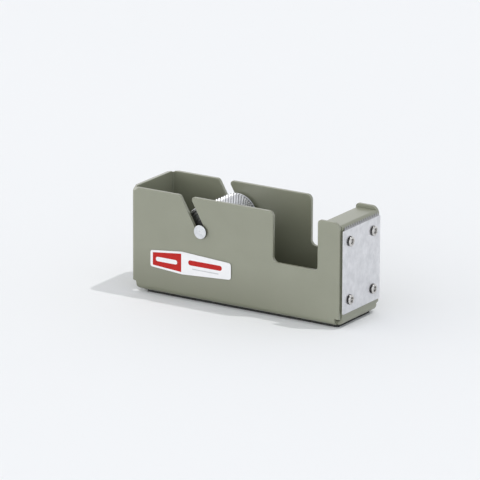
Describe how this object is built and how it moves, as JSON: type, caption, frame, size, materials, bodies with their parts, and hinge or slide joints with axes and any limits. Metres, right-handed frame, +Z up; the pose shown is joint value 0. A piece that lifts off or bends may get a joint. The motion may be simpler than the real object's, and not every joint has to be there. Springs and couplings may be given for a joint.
{
  "type": "tape dispenser",
  "caption": "Desk tape dispenser: a folded steel box with finger notches, a serrated blade plate on its front, and a drum hub on an axle that lifts out of leaning slots.",
  "frame": {"origin": "bottom centre of the object's box, on the surface it stands on", "axes": "+X towards the blade, +Y across the width along the axle, +Z up"},
  "size_m": [0.1324, 0.043, 0.0577],
  "materials": {
    "painted_steel": "satin grey-green powder coat",
    "blade_steel": "fine rolled grain, unpainted",
    "rivet_steel": "bright",
    "rubber": "matt",
    "label": "glossy film, red panel and blank white panel",
    "hub_aluminium": "knurled",
    "plate_steel": "plain pressed",
    "bush_plastic": "moulded",
    "axle_steel": "bright turned"
  },
  "bodies": {
    "body": {"body_shell": "painted_steel", "blade_plate": "blade_steel", "rivet_upper_near": "rivet_steel", "rivet_upper_far": "rivet_steel", "rivet_lower_near": "rivet_steel", "rivet_lower_far": "rivet_steel", "base_pad": "rubber", "wall_label": "label"},
    "axle": {"axle_rod": "axle_steel", "axle_cap_near": "axle_steel", "axle_cap_far": "axle_steel"},
    "hub": {"hub_drum": "hub_aluminium", "hub_plate_near": "plate_steel", "hub_plate_far": "plate_steel", "hub_bush_near": "bush_plastic", "hub_bush_far": "bush_plastic"}
  },
  "joints": [
    {"name": "axle_lift", "type": "slide", "parent": "body", "child": "axle", "axis": [-0.5, 0, 0.866], "range_m": [0, 0.04]},
    {"name": "hub_spin", "type": "hinge", "parent": "axle", "child": "hub", "pos_m": [-0.02185, 0, 0.0398], "axis": [0, 1, 0], "continuous": true}
  ]
}
